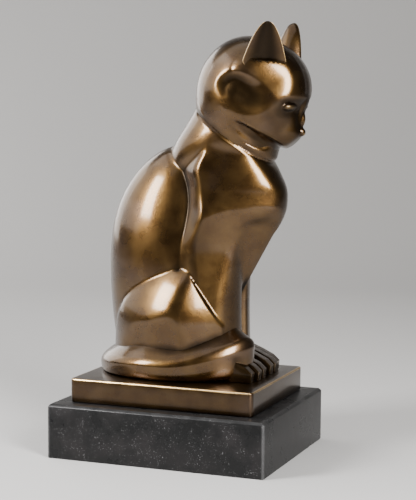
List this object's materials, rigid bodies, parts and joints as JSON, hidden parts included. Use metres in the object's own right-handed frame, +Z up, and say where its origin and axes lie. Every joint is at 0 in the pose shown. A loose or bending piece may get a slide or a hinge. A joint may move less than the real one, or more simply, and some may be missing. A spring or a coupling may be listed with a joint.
{
  "type": "cat sculpture",
  "caption": "Seated stylised cat in dark cast bronze with its tail wrapped round to the forepaws, on a low bronze plinth and a block of black marble.",
  "frame": {"origin": "centre of the flat underside of the marble block", "axes": "+Z up, the cat looks towards -Y, +X is the cat's own left"},
  "size_m": [0.134, 0.1703, 0.3123],
  "materials": {
    "figure_bronze": "dark brown patina, rubbed to gold on the ridges",
    "plinth_bronze": "dark brown patina, rubbed to gold on the edges",
    "black_marble": "polished black marble with fine grey specks"
  },
  "bodies": {
    "root": {"cat": "figure_bronze", "bronze_plinth": "plinth_bronze", "marble_base": "black_marble"}
  },
  "joints": []
}
